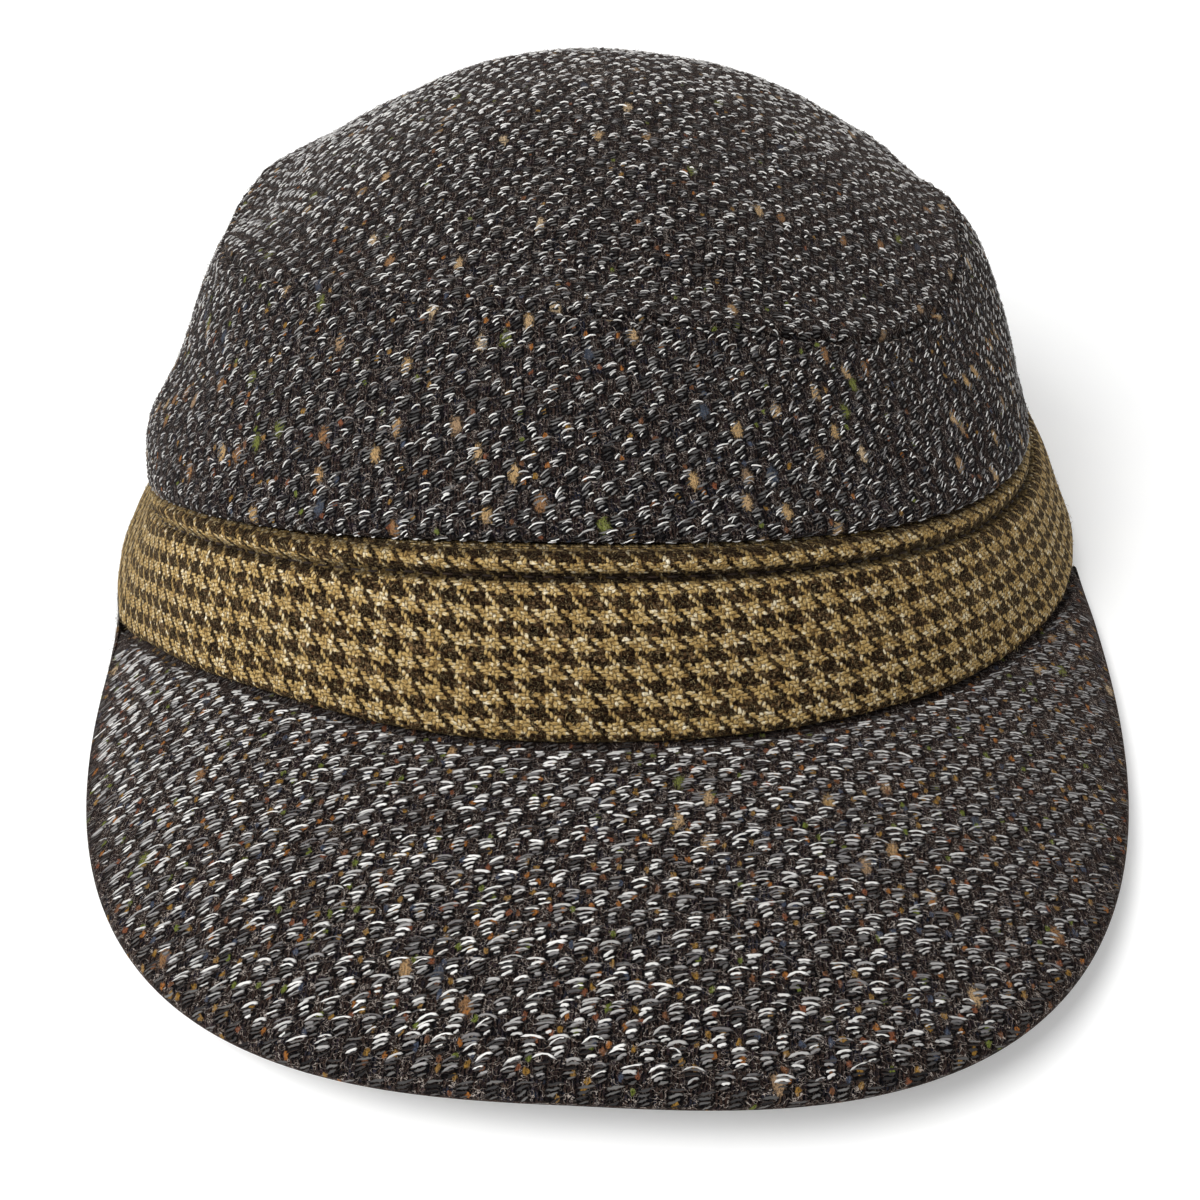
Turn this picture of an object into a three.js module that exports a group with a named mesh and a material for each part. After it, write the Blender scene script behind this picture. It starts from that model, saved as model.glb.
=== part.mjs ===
// A soft army cap lying by itself: a domed crown of two tweed panels, a houndstooth band and a brim.
// Sizes are in millimetres and +Z is up. The brim points along -Y, and +X is to the right seen
// from in front of it. The cap stands on the plane Z = 0, on the back of its band and the two
// ends of its brim, and its origin is the middle of its footprint.
import * as THREE from "three";

// Cloth. The crown is one thickness of tweed with its inner layer, the band is folded double,
// and the brim is tweed over a stiff core.
const CROWN_CLOTH = 2.4;
const BAND_CLOTH = 2.6;
const BRIM_THICKNESS = 3;
const GAP = 0.3;

// How far the crown wall runs down behind the band, as a share of the band's height.
const TUCK = 0.3;

// The steps that the meshes are made in.
const ROUND_STEPS = 80;
const BAND_STEPS = 4;
const WALL_STEPS = 8;
const DOME_STEPS = 9;
const BRIM_STEPS = 42;
const BRIM_ROWS = 6;

// The rings that the cap hangs on, from the hem up. Each has its own front, side and back height,
// because the brim lifts the front of the band and the crown sinks towards +X. Squareness fills
// out the corners between front and side.
const HEM = {
  middleX: -2.6, middleY: 0, leftWidth: 92, rightWidth: 91.5, frontY: -97.7, backY: 100,
  frontZ: 17.2, sideZ: 4, backZ: -1.2, tilt: 0, squareness: 0,
};
const BAND_TOP = {
  middleX: -3.8, middleY: 0, leftWidth: 82, rightWidth: 82, frontY: -84, backY: 96,
  frontZ: 40.6, sideZ: 26.8, backZ: 25.5, tilt: 0.3, squareness: 0.025,
};
const SEAM = {
  middleX: -1.4, middleY: 17.7, leftWidth: 70.8, rightWidth: 66, frontY: -55.2, backY: 85.3,
  frontZ: 64.3, sideZ: 56.4, backZ: 60.8, tilt: -1.9, squareness: 0.039,
};

// The seam sags at its front corner on the +X side. Angles here are degrees from the front
// towards +X, and a spread is how far from its middle a sag or dent has mostly faded.
const SEAM_SAG = { angle: 48, depth: 7, spread: 28 };

// How far the middle of the wall stands out from the straight line between its rings, and how far
// its foot swells out over the edge of the band. Left and right add to this at the two sides.
const WALL_BULGE = { round: 1.4, left: -0.3, right: 1.6 };
const FOOT_SWELL = { round: 2, left: 1.6, right: 0 };
const FOOT_SWELL_SPREAD = 0.05;

// The dome over the seam: its highest point, how quickly it falls away from there, and how much
// fuller it is towards the back.
const DOME = { topX: -4, topY: 10.8, topZ: 83.1, fall: 1.75, backFullness: 0.6 };

// The seam allowance folded under both panels lifts them beside the seam.
const SEAM_LIFT = 0.9;
const SEAM_LIFT_SPREAD = 0.07;

// Soft dents in the crown, and folds that stand out, with a depth below 0. Height runs from 0 at
// the foot of the wall to 1 at the seam and 2 at the top of the dome.
const DENTS = [
  { angle: -72, height: 1.1, depth: 1.6, spreadAngle: 20, spreadHeight: 0.14 },
  { angle: 10, height: 1.12, depth: 1.2, spreadAngle: 22, spreadHeight: 0.09 },
  { angle: 62, height: 0.7, depth: 1, spreadAngle: 22, spreadHeight: 0.3 },
  { angle: 150, height: 0.5, depth: 1.2, spreadAngle: 26, spreadHeight: 0.3 },
  { angle: -140, height: 0.75, depth: 0.8, spreadAngle: 24, spreadHeight: 0.3 },
  { angle: -80, height: 1.02, depth: 1.1, spreadAngle: 11, spreadHeight: 0.15 },
  { angle: -103, height: 1, depth: -0.9, spreadAngle: 10, spreadHeight: 0.12 },
  { angle: 97, height: 0.82, depth: -1.6, spreadAngle: 13, spreadHeight: 0.25 },
  { angle: 113, height: 1.03, depth: 1.8, spreadAngle: 12, spreadHeight: 0.13 },
];

// The brim. Its outline is a rounded oblong whose middle is swung towards +X, and it ends close
// against the hem at the end angle. Its corners hang lower than its middle.
const BRIM = {
  halfWidth: 86.4, sideY: 6.6, frontY: -150.9, swing: 6.4, roundness: 2.8,
  frontZ: 10.6, endZ: 2.4, cornerDrop: 0.9, crown: 1.2,
  outlineEnd: 84, hemEnd: 75, lip: 1.8, lipBlend: 0.02, edgeRound: 1, endThinning: 0.4,
};

const RADIANS = Math.PI / 180;
const UP = new THREE.Vector3(0, 0, 1);

// A point of a ring, at an angle from the front towards +X.
function ringPoint(ring, angle) {
  const across = Math.sin(angle);
  const ahead = Math.cos(angle);
  const width = across > 0 ? ring.rightWidth : ring.leftWidth;
  const reach = 1 + (ring.squareness * (1 - Math.cos(4 * angle))) / 2;
  const endY = ahead > 0 ? ring.frontY : ring.backY;
  const endZ = ahead > 0 ? ring.frontZ : ring.backZ;
  return new THREE.Vector3(
    ring.middleX + width * across * reach,
    ring.middleY + (endY - ring.middleY) * Math.abs(ahead) * reach,
    Math.max(0, ring.sideZ + (endZ - ring.sideZ) * ahead ** 2 + ring.tilt * across),
  );
}

// A smooth hump, 1 where the angle is the middle one and fading round from there.
function hump(angle, middleDegrees, spreadDegrees) {
  const turn = angle / RADIANS - middleDegrees;
  return Math.exp(-(((turn - 360 * Math.round(turn / 360)) / spreadDegrees) ** 2));
}

// A size that is the same all round, with more or less of it at each side.
function atSides(size, angle) {
  const across = Math.sin(angle);
  return size.round + (across > 0 ? size.right : size.left) * across ** 2;
}

// The seam where the wall and the dome meet.
function seamPoint(angle) {
  const sag = SEAM_SAG.depth * hump(angle, SEAM_SAG.angle, SEAM_SAG.spread);
  return ringPoint(SEAM, angle).addScaledVector(UP, -sag);
}

// The outward normal of a surface given as a function of angle and rise.
function normalOf(surface, angle, rise) {
  const step = 0.01;
  const low = Math.max(0, rise - step);
  const high = Math.min(1, rise + step);
  const along = surface(angle + step, rise).sub(surface(angle - step, rise));
  const upward = surface(angle, high).sub(surface(angle, low));
  return along.cross(upward).normalize();
}

// The outside of the band, from the hem at rise 0 to its top edge at rise 1.
function bandPoint(angle, rise) {
  const foot = ringPoint(HEM, angle);
  const top = ringPoint(BAND_TOP, angle);
  return foot.lerp(top, rise);
}

// A point at a depth inside the band, level with the point outside it.
function insideBand(angle, rise, depth) {
  const normal = normalOf(bandPoint, angle, rise).setZ(0);
  return bandPoint(angle, rise).addScaledVector(normal, -depth / normal.lengthSq());
}

// How far the crown stands in or out at a place, from the seam allowance and the dents.
function relief(angle, height) {
  const fromSeam = (height - 1) / SEAM_LIFT_SPREAD;
  let lift = SEAM_LIFT * Math.exp(-(fromSeam ** 2));
  for (const dent of DENTS) {
    const rise = (height - dent.height) / dent.spreadHeight;
    lift -= dent.depth * hump(angle, dent.angle, dent.spreadAngle) * Math.exp(-(rise ** 2));
  }
  return lift;
}

// The outside of the crown wall, from the top of the band at rise 0 to the seam at rise 1.
function smoothWallPoint(angle, rise) {
  const foot = insideBand(angle, 1, BAND_CLOTH + GAP);
  const outward = new THREE.Vector3(Math.sin(angle), -Math.cos(angle), 0);
  const bulge = atSides(WALL_BULGE, angle) * 4 * rise * (1 - rise);
  const fade = (1 - rise) ** 3 * (1 - Math.exp(-rise / FOOT_SWELL_SPREAD));
  const swell = atSides(FOOT_SWELL, angle) * fade;
  return foot
    .lerp(seamPoint(angle), rise)
    .addScaledVector(outward, bulge + swell)
    .addScaledVector(UP, bulge / 2);
}

// The outside of the dome, from the seam at rise 0 to its highest point at rise 1.
function smoothDomePoint(angle, rise) {
  const reach = 1 - rise;
  const edge = seamPoint(angle);
  const fall = DOME.fall + DOME.backFullness * Math.max(0, -Math.cos(angle)) ** 2;
  return new THREE.Vector3(
    DOME.topX + (edge.x - DOME.topX) * reach,
    DOME.topY + (edge.y - DOME.topY) * reach,
    edge.z + (DOME.topZ - edge.z) * (1 - reach ** fall),
  );
}

// The direction that both panels face where they meet.
function seamNormal(angle) {
  const wall = normalOf(smoothWallPoint, angle, 1);
  return wall.add(normalOf(smoothDomePoint, angle, 0)).normalize();
}

// The direction that the wall runs down from the seam.
function downFromSeam(angle) {
  const step = 0.01;
  return smoothWallPoint(angle, 1 - step).sub(smoothWallPoint(angle, 1)).normalize();
}

// One row of the wall or the dome, at a depth under its outside.
function crownPoint(surface, angle, rise, height, depth) {
  const atSeam = height === 1;
  const normal = atSeam ? seamNormal(angle) : normalOf(surface, angle, rise);
  return surface(angle, rise).addScaledVector(normal, relief(angle, height) - depth);
}

// Joins loops of points, each as long as the others, into one closed surface. The loops close
// on themselves in a circle, or else both ends are covered.
function skin(loops, inCircle) {
  const size = loops[0].length;
  const points = loops.flat();
  const faces = [];
  const lastLoop = inCircle ? loops.length : loops.length - 1;
  for (let i = 0; i < lastLoop; i++) {
    for (let j = 0; j < size; j++) {
      const a = i * size + j;
      const b = i * size + ((j + 1) % size);
      const c = ((i + 1) % loops.length) * size + ((j + 1) % size);
      const d = ((i + 1) % loops.length) * size + j;
      faces.push(a, b, c, a, c, d);
    }
  }
  if (!inCircle) {
    coverEnd(points, faces, 0, size, true);
    coverEnd(points, faces, (loops.length - 1) * size, size, false);
  }
  const geometry = new THREE.BufferGeometry().setFromPoints(points).setIndex(faces);
  geometry.computeVertexNormals();
  return geometry;
}

// Covers one end loop with triangles round its middle.
function coverEnd(points, faces, start, size, isFirst) {
  const loop = points.slice(start, start + size);
  const middle = loop.reduce((sum, p) => sum.add(p), new THREE.Vector3()).divideScalar(size);
  const centre = points.push(middle) - 1;
  for (let j = 0; j < size; j++) {
    const here = start + j;
    const next = start + ((j + 1) % size);
    faces.push(centre, isFirst ? next : here, isFirst ? here : next);
  }
}

// The numbers from 0 to 1 in equal steps.
function shares(steps) {
  return Array.from({ length: steps + 1 }, (_, i) => i / steps);
}

const roundAngles = shares(ROUND_STEPS).slice(1).map((share) => share * 360 * RADIANS);

// The band: its section at each angle runs up the outside and down the inside.
function bandGeometry() {
  const rises = shares(BAND_STEPS);
  const loops = roundAngles.map((angle) => [
    ...rises.map((rise) => bandPoint(angle, rise)),
    ...rises.toReversed().map((rise) => insideBand(angle, rise, BAND_CLOTH)),
  ]);
  return skin(loops.toReversed(), true);
}

// The crown wall: its foot is tucked behind the band, and its top stops just short of the seam.
function wallGeometry() {
  const rises = shares(WALL_STEPS);
  const tucked = (angle, depth) => insideBand(angle, 1 - TUCK, BAND_CLOTH + GAP + depth);
  const side = (angle, depth) =>
    rises.map((rise) => {
      const point = crownPoint(smoothWallPoint, angle, rise, rise, depth);
      return rise === 1 ? point.addScaledVector(downFromSeam(angle), GAP) : point;
    });
  const loops = roundAngles.map((angle) => [
    tucked(angle, 0),
    ...side(angle, 0),
    ...side(angle, CROWN_CLOTH).toReversed(),
    tucked(angle, CROWN_CLOTH),
  ]);
  return skin(loops.toReversed(), true);
}

// The dome: rings from the top of its inside down to the seam, and back up the outside.
function domeGeometry() {
  const rises = shares(DOME_STEPS).slice(0, -1);
  const ring = (rise, depth) =>
    roundAngles.map((angle) => crownPoint(smoothDomePoint, angle, rise, 1 + rise, depth));
  const loops = [
    ...rises.toReversed().map((rise) => ring(rise, CROWN_CLOTH)),
    ...rises.map((rise) => ring(rise, 0)),
  ];
  return skin(loops, false);
}

// The brim's outline, from its end on the -X side at share -1 to the other end at share 1.
function brimEdge(share) {
  const turn = share * BRIM.outlineEnd * RADIANS;
  const across = Math.sin(turn);
  const ahead = Math.cos(turn);
  const power = 2 / BRIM.roundness;
  let x = BRIM.swing * ahead + BRIM.halfWidth * Math.sign(across) * Math.abs(across) ** power;
  let y = BRIM.sideY + (BRIM.frontY - BRIM.sideY) * ahead ** power;
  const hemWidth = across > 0 ? HEM.rightWidth : HEM.leftWidth;
  const reach = Math.hypot((x - HEM.middleX) / hemWidth, y / HEM.frontY);
  const short = (1 + BRIM.lip / hemWidth) / reach - 1;
  const push = 1 + (short + Math.hypot(short, BRIM.lipBlend)) / 2;
  x = HEM.middleX + (x - HEM.middleX) * push;
  y *= push;
  const drop = BRIM.cornerDrop * 2 * Math.abs(across) * ahead;
  return new THREE.Vector3(x, y, BRIM.frontZ * ahead ** 2 + BRIM.endZ * across ** 2 - drop);
}

// The brim: its section at each share runs from under the band out along the top, round the
// edge, and back along the underside, which lies flat where it meets the plane it rests on.
function brimGeometry() {
  const loops = shares(BRIM_STEPS).map((step) => {
    const share = 2 * step - 1;
    const thickness = BRIM_THICKNESS * (1 - BRIM.endThinning * share ** 8);
    const underside = (point) => point.clone().setZ(Math.max(0, point.z - thickness));
    const angle = share * BRIM.hemEnd * RADIANS;
    const inner = insideBand(angle, 0, BAND_CLOTH).addScaledVector(UP, -GAP);
    const root = ringPoint(HEM, angle).addScaledVector(UP, -GAP);
    const edge = brimEdge(share);
    const inset = root.clone().sub(edge).setZ(0).setLength(BRIM.edgeRound);
    const shoulder = edge.clone().add(inset);
    const reach = shoulder.distanceTo(root);
    const rows = shares(BRIM_ROWS).map((row) => {
      const crown = (BRIM.crown * 4 * row * (1 - row) * reach) / (HEM.frontY - BRIM.frontY);
      return root.clone().lerp(shoulder, row).addScaledVector(UP, Math.min(crown, BRIM.crown));
    });
    const rim = edge.clone().setZ(Math.max(thickness / 2, edge.z - thickness / 2));
    const top = [inner, ...rows];
    return [...top, rim, ...top.map(underside).toReversed()];
  });
  return skin(loops, false);
}

const TWEED = new THREE.MeshStandardMaterial({ color: 0x4b4745, roughness: 0.95, metalness: 0 });
const HOUNDSTOOTH = new THREE.MeshStandardMaterial({
  color: 0x85703f, roughness: 0.95, metalness: 0,
});

const PIECES = [
  { name: "brim", geometry: brimGeometry(), material: TWEED },
  { name: "band", geometry: bandGeometry(), material: HOUNDSTOOTH },
  { name: "crown_wall", geometry: wallGeometry(), material: TWEED },
  { name: "crown_top", geometry: domeGeometry(), material: TWEED },
];

const cap = new THREE.Group();
for (const piece of PIECES) {
  const mesh = new THREE.Mesh(piece.geometry, piece.material);
  mesh.name = piece.name;
  cap.add(mesh);
}

const middle = new THREE.Box3().setFromObject(cap).getCenter(new THREE.Vector3());
cap.position.set(-middle.x, -middle.y, 0);

export default cap;
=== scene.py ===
import math
from types import SimpleNamespace as Sizes

import bmesh
import bpy
import numpy as np
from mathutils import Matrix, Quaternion, Vector
from mathutils.kdtree import KDTree


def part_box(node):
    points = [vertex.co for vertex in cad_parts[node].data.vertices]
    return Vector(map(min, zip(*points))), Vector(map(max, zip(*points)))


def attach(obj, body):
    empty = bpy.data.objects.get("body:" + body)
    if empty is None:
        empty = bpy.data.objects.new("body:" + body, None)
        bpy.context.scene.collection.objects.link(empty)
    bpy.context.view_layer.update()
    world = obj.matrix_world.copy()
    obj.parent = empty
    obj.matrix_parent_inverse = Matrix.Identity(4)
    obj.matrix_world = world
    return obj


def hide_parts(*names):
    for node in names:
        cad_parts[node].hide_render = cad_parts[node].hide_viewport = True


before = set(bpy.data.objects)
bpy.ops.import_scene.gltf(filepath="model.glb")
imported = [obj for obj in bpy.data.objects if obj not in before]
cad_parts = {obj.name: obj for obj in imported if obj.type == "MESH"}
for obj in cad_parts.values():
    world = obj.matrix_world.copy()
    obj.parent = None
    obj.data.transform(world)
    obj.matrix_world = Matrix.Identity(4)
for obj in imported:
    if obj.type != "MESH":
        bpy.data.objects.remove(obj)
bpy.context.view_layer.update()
join = np.concatenate

# A soft army cap of tweed with a houndstooth band, resting on a pale floor. Lengths are in
# millimetres in the cap's own frame, with its hem round the origin, unless a comment says metres.
# Angles run from the front towards +X. Each cloth piece is a closed shell built from the same
# rings as the solid that it stands for.

MM = 0.001
HEM_LEFT, BACK_Y = 94.6, 100.0
band_low, band_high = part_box("band")
SHIFT = np.array([band_low.x / MM + HEM_LEFT, band_high.y / MM - BACK_Y, 0.0])

# How thick the pieces are, and the gaps between them. The wall is tucked in behind the band by a
# share of the band's height.
CROWN_CLOTH, BAND_CLOTH, BRIM_THICKNESS, GAP, TUCK = 2.4, 2.6, 3.0, 0.3, 0.3
# The three rings round the cap. Each sags in one place: how deep, at which angle, and how far
# that spreads each way.
HEM = Sizes(
    middle_x=-2.6, middle_y=0, left_width=92, right_width=91.5, front_y=-97.7, back_y=BACK_Y,
    front_z=17.2, side_z=4, back_z=-1.2, tilt=0, squareness=0, sag=(0, 0, 1),
)
BAND_TOP = Sizes(
    middle_x=-3.8, middle_y=0, left_width=82, right_width=82, front_y=-84, back_y=96,
    front_z=40.6, side_z=26.8, back_z=25.5, tilt=0.3, squareness=0.025, sag=(7.8, -78, 21),
)
SEAM = Sizes(
    middle_x=-1.4, middle_y=17.7, left_width=70.8, right_width=66, front_y=-55.2, back_y=85.3,
    front_z=64.3, side_z=56.4, back_z=60.8, tilt=-1.9, squareness=0.039, sag=(7, 48, 28),
)
# Where the hem drops towards the floor and is pushed out: the middle angle, how far that spreads
# each way, the drop, which is below 0 where the hem rises, and the push.
HEM_SHAPING = ((-64, 13, 5.6, 1.8), (-28, 14, -1.8, 0))
# How far the middle of the wall and its foot stand out, all round and more at each side.
WALL_BULGE = Sizes(round=1.4, left=0.8, right=1.6)
FOOT_SWELL = Sizes(round=2, left=1.6, right=0)
FOOT_SWELL_SPREAD = 0.05
# The highest point, how quickly the dome falls away from it, and how much fuller its back is.
DOME = Sizes(top=np.array([-4, 10.8, 83.1]), fall=1.75, back_fullness=0.6)
# The folded cloth inside lifts both panels beside the seam.
SEAM_LIFT, SEAM_LIFT_SPREAD = 0.9, 0.07

# Dents in the crown, with a size below 0, and folds that stand out, as rows for shaped(). The
# height goes from 0 at the wall's foot over 1 at the seam to 2 at the top.
DENTS = (
    (-1.6, -72, 20, 1.1, 0.14), (-1.2, 10, 22, 1.12, 0.09), (-1, 62, 22, 0.7, 0.3),
    (-1.2, 150, 26, 0.5, 0.3), (-0.8, -140, 24, 0.75, 0.3), (-1.1, -80, 11, 1.02, 0.15),
    (0.9, -103, 10, 1, 0.12), (1.6, 97, 13, 0.82, 0.25), (-1.8, 113, 12, 1.03, 0.13),
)
# The brim's outline is a rounded oblong, which stays a lip's width outside the hem at its ends.
BRIM = Sizes(
    half_width=86.4, side_y=6.6, front_y=-150.9, swing=6.4, roundness=2.8, front_z=10.6,
    end_z=2.4, corner_drop=0.9, crown=1.2, outline_end=84, hem_end=75, lip=1.8,
    lip_blend=0.02, end_thinning=0.4,
)

# The two cloths. A tweed repeat holds seven warp threads and two blocks of four white floats in
# half drop. A houndstooth repeat holds four dark and four light threads each way, with the weft
# a bit higher.
TWEED_WIDE, TWEED_HIGH, WARP_ENDS = 3.41, 5.15, 7
HOUNDSTOOTH_WIDE, HOUNDSTOOTH_HIGH, THREADS = 4.17, 3.92, 8
WEFT_PROUD = 0.28

# A block's four floats, from the lowest up: the length, how far the middle lies to the right of
# the block's middle, and how steeply it rises to the right, in degrees. They lie this far apart,
# and the lowest lies this far up the block's own row.
BLOCK = ((1.15, 0.18, 24), (1.45, -0.16, 20), (1.7, -0.1, 15), (2.0, 0.14, 11))
FLOAT_APART, BLOCK_FOOT = 0.6, 0.4
# Towards the sides of the cap the floats' colours are pulled to one dim shade, all the way at this
# distance: painted shade for the weaker light at the sides.
FADED_AT, FADED_SHADE = 80, 0.33

# The topstitching draws a groove this far under the top edge.
STITCH_DOWN, GROOVE_DEPTH, GROOVE_REACH = 3.95, 1.35, 0.8
# The top edge curves in over this depth and this height. The hem is a plain half round.
EDGE_IN, EDGE_DOWN, HEM_ROUND = 1.9, 1.5, 1.2


# ---------- the surfaces

def bell(value, middle, spread):
    """1 at the middle, and fading smoothly to both sides."""
    return np.exp(-(((value - middle) / spread) ** 2))


def hump(angle, middle, spread):
    """1 where the angle is the middle one, in degrees, and fading round from there."""
    turn = np.degrees(angle) - middle
    return bell(turn - 360 * np.round(turn / 360), 0, spread)


def shaped(angle, distance, rows):
    """The sum of soft swells, each with its size, middle angle, spread, middle distance and reach."""
    return sum(
        size * hump(angle, middle, spread) * bell(distance, level, reach)
        for size, middle, spread, level, reach in rows
    )


def lengths(vectors):
    return np.linalg.norm(vectors, axis=-1, keepdims=True)


def unit(vectors):
    return vectors / np.maximum(lengths(vectors), 1e-9)


def outward(angle):
    return np.stack([np.sin(angle), -np.cos(angle), 0 * angle], -1)


def ring_point(ring, angle):
    """A point of a ring round the cap. Squareness fills out the corners between front and side."""
    across, ahead = np.sin(angle), np.cos(angle)
    width = np.where(across > 0, ring.right_width, ring.left_width)
    reach = 1 + ring.squareness * (1 - np.cos(4 * angle)) / 2
    end_y = np.where(ahead > 0, ring.front_y, ring.back_y)
    end_z = np.where(ahead > 0, ring.front_z, ring.back_z)
    level = ring.side_z + (end_z - ring.side_z) * ahead**2 + ring.tilt * across
    sag, middle, spread = ring.sag
    return np.stack([
        ring.middle_x + width * across * reach,
        ring.middle_y + (end_y - ring.middle_y) * np.abs(ahead) * reach,
        np.maximum(0, level - sag * hump(angle, middle, spread)),
    ], -1)


def hem_point(angle):
    point = ring_point(HEM, angle)
    for middle, spread, drop, push in HEM_SHAPING:
        near = hump(angle, middle, spread)
        point[..., 2] = np.maximum(0, point[..., 2] - drop * near)
        point += push * near[..., None] * outward(angle)
    return point


def band_point(angle, rise):
    foot = hem_point(angle)
    return foot + (ring_point(BAND_TOP, angle) - foot) * rise[..., None]


def normal_of(surface, angle, rise):
    """The direction that a surface faces, from its points close by."""
    step = 0.01
    along = surface(angle + step, rise) - surface(angle - step, rise)
    upward = surface(angle, np.minimum(1, rise + step)) - surface(angle, np.maximum(0, rise - step))
    return unit(np.cross(along, upward))


def inside_band(angle, rise, depth):
    """A point at a level depth behind the band's outside."""
    normal = normal_of(band_point, angle, rise)
    normal[..., 2] = 0
    return band_point(angle, rise) - normal * depth / lengths(normal) ** 2


def at_sides(size, angle):
    """A size that is the same all round, with more or less of it at each side."""
    across = np.sin(angle)
    return size.round + np.where(across > 0, size.right, size.left) * across**2


def smooth_wall(angle, rise):
    foot = inside_band(angle, np.ones_like(angle), BAND_CLOTH + GAP)
    bulge = at_sides(WALL_BULGE, angle) * 4 * rise * (1 - rise)
    fade = (1 - rise) ** 3 * (1 - np.exp(-rise / FOOT_SWELL_SPREAD))
    stand_out = (bulge + at_sides(FOOT_SWELL, angle) * fade)[..., None]
    point = foot + (ring_point(SEAM, angle) - foot) * rise[..., None] + outward(angle) * stand_out
    point[..., 2] += bulge / 2
    return point


def smooth_dome(angle, rise):
    reach = 1 - rise
    fall = DOME.fall + DOME.back_fullness * np.maximum(0, -np.cos(angle)) ** 2
    return DOME.top + (ring_point(SEAM, angle) - DOME.top) * np.stack([reach, reach, reach**fall], -1)


def relief(angle, height):
    """How far the crown stands out with its dents, folds and seam."""
    return SEAM_LIFT * bell(height, 1, SEAM_LIFT_SPREAD) + shaped(angle, height, DENTS)


def brim_edge(share):
    """The brim's outline, from its end on the -X side at share -1 to the other at share 1."""
    turn = np.radians(share * BRIM.outline_end)
    across, ahead = np.sin(turn), np.cos(turn)
    power = 2 / BRIM.roundness
    x = BRIM.swing * ahead + BRIM.half_width * np.sign(across) * np.abs(across) ** power
    y = BRIM.side_y + (BRIM.front_y - BRIM.side_y) * ahead**power
    hem_width = np.where(across > 0, HEM.right_width, HEM.left_width)
    reach = np.hypot((x - HEM.middle_x) / hem_width, y / HEM.front_y)
    short = (1 + BRIM.lip / hem_width) / reach - 1
    push = 1 + (short + np.hypot(short, BRIM.lip_blend)) / 2
    z = BRIM.front_z * ahead**2 + BRIM.end_z * across**2 - BRIM.corner_drop * 2 * np.abs(across) * ahead
    return np.stack([HEM.middle_x + (x - HEM.middle_x) * push, y * push, z], -1)


# Slow waves in the cloth, and the small puckers that the seam's thread draws up.
waves = np.random.default_rng(11)


def new_ripple(wavelength, count=9):
    """A smooth random swell over points, about -1 to 1, with waves of about that length."""
    ways = waves.normal(size=(count, 3))
    ways *= 2 * math.pi / wavelength / lengths(ways) / waves.uniform(0.75, 1.4, (count, 1))
    starts = waves.uniform(0, 2 * math.pi, count)
    return lambda points: np.sin(points @ ways.T + starts).sum(-1) / math.sqrt(count)


# Slow, middle and quick ripples by their wavelength, and how deep each is in a piece.
ripples = [new_ripple(wavelength) for wavelength in (42, 25, 10)]
CROWN_WAVES, BAND_WAVES, BRIM_WAVES = (0.3, 0.16, 0.07), (0.2, 0.12, 0.06), (0.15, 0, 0)


def rippled(points, depths):
    return sum(depth * ripple(points) for depth, ripple in zip(depths, ripples))


def round_ripple(slowest, fastest, count=12):
    """A smooth random swell round the cap, with between slowest and fastest waves in a turn."""
    turns = np.linspace(slowest, fastest, count).round()
    starts = waves.uniform(0, 2 * math.pi, count)
    return np.sin(full_turn[:, None] * turns + starts).sum(-1) / math.sqrt(count)


# ---------- the meshes

SLOTS = dict(
    crown_top="crown_tweed", crown_wall="crown_tweed", band="band_houndstooth", brim="brim_tweed",
)
# A full turn of the cap, with both ends.
ROUND_COLUMNS = 420
full_turn = np.linspace(-math.pi, math.pi, ROUND_COLUMNS + 1)


def over_turn(rises):
    """The angle and the rise at each point of a grid that goes right round."""
    return np.meshgrid(full_turn, rises, indexing="ij")


def new_piece(node, part, points, face_sets, materials, maps, face_slots=None):
    """A mesh piece that stands for a node, named after the node and the part. face_sets holds
    arrays of faces, and maps gives each of their corners its place, in the same order."""
    name, slot = f"{node}_{part}", SLOTS[node]
    mesh = bpy.data.meshes.new(name)
    faces = [face for faces in face_sets for face in faces.tolist()]
    mesh.from_pydata((points + SHIFT) * MM, [], faces, shade_flat=False)
    if face_slots is not None:
        mesh.polygons.foreach_set("material_index", face_slots.astype(np.int32))
    for map_name, places in maps.items():
        mesh.uv_layers.new(name=map_name).data.foreach_set("uv", places.astype(np.float32).ravel())
    for material in materials:
        mesh.materials.append(material)
    piece = add_to_scene(name, mesh)
    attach(piece, "root")
    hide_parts(node)
    return piece


def add_to_scene(name, data):
    thing = bpy.data.objects.new(name, data)
    bpy.context.scene.collection.objects.link(thing)
    return thing


def grid_quads(columns, rows, closed_across, closed_up):
    """Quads over a grid of columns x rows, going round where closed: as places in the flat list
    of its points, and in that of a map, which has one more column or row where closed."""
    i = np.arange(columns if closed_across else columns - 1)[:, None]
    j = np.arange(rows if closed_up else rows - 1)[None]
    quads, corners = [], []
    for a, b in ((i, j), (i + 1, j), (i + 1, j + 1), (i, j + 1)):
        quads.append(((a % columns) * rows + b % rows).ravel())
        corners.append((a * (rows + closed_up) + b).ravel())
    return np.stack(quads, -1), np.stack(corners, -1)


def spaced(count, ease_start=0.0, ease_end=0.0):
    """Numbers from 0 to 1 that crowd towards an end by its ease, which is at most 0.3."""
    t = np.linspace(0, 1, count)
    return t + np.sin(math.pi * t) * (ease_end * t - ease_start * (1 - t))


def arc_lengths(points, axis):
    steps = np.linalg.norm(np.diff(points, axis=axis), axis=-1)
    zero = np.zeros_like(np.take(steps, [0], axis))
    return join([zero, np.cumsum(steps, axis)], axis)


def from_front(points):
    """The length along a ring of points, from the front, as one column."""
    along = arc_lengths(points, 0)
    return (along - along[ROUND_COLUMNS // 2])[:, None]


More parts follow.
